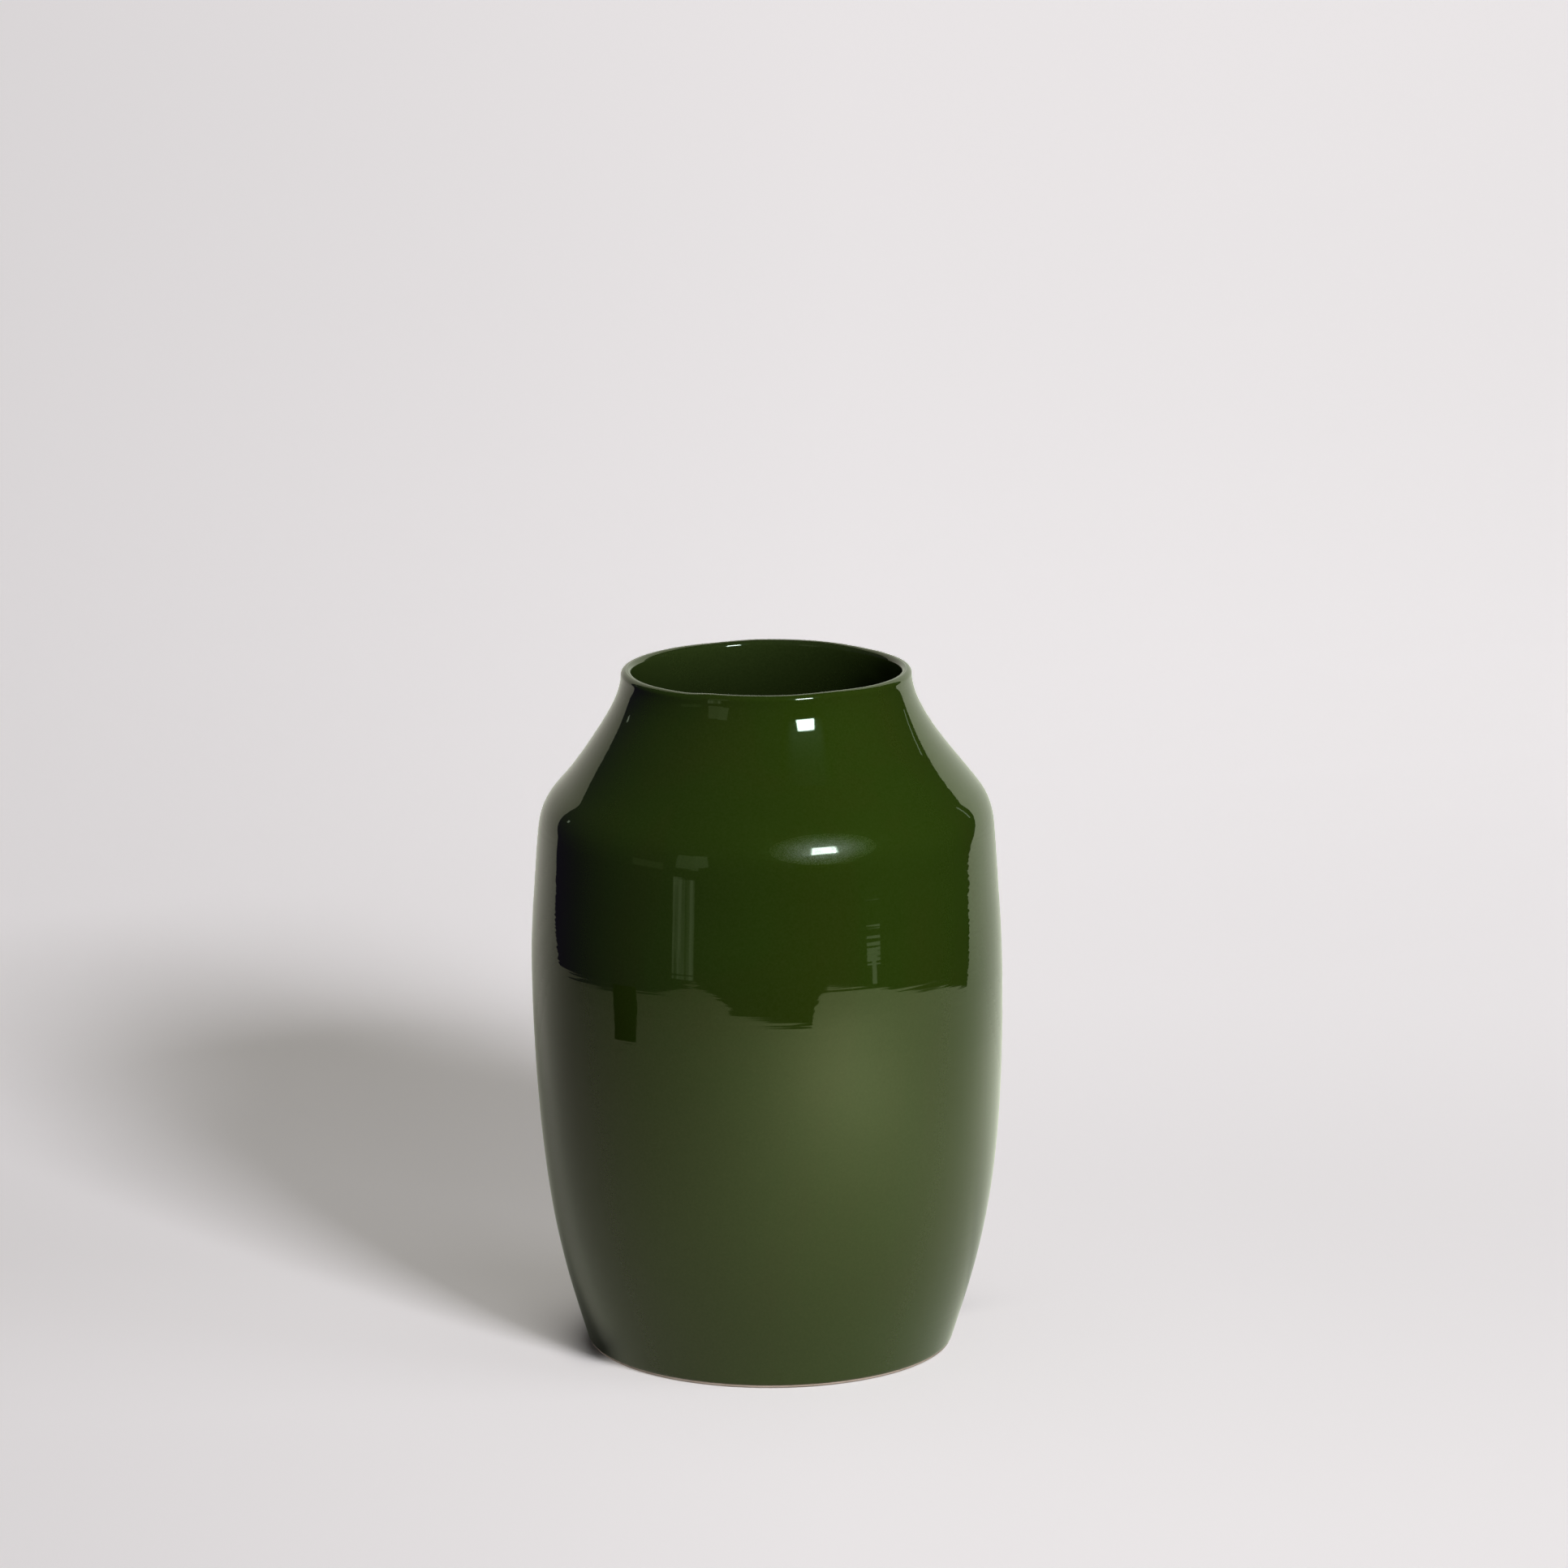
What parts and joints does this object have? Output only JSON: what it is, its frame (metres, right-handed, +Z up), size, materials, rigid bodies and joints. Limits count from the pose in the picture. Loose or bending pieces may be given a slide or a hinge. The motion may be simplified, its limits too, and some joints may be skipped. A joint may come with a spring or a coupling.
{
  "type": "stoneware vase",
  "caption": "Tall thrown vase with a full rounded body, a sloping shoulder, a short upright collar and a wide open mouth, glazed inside and out.",
  "frame": {"origin": "middle of the plane that the foot ring stands on", "axes": "+Z up along the axis that the vase was thrown about; +X and +Y are any two level directions, because the form is round"},
  "size_m": [0.2392, 0.2392, 0.35],
  "materials": {
    "bare_clay": "dry unglazed stoneware, fired pinkish buff",
    "outer_glaze": "glossy deep moss-green glaze",
    "lining_glaze": "glossy deep moss-green glaze",
    "well_glaze": "glossy deep moss-green glaze"
  },
  "bodies": {
    "root": {"stoneware_body": "bare_clay", "outer_glaze": "outer_glaze", "lining_glaze": "lining_glaze", "foot_well_glaze": "well_glaze"}
  },
  "joints": []
}
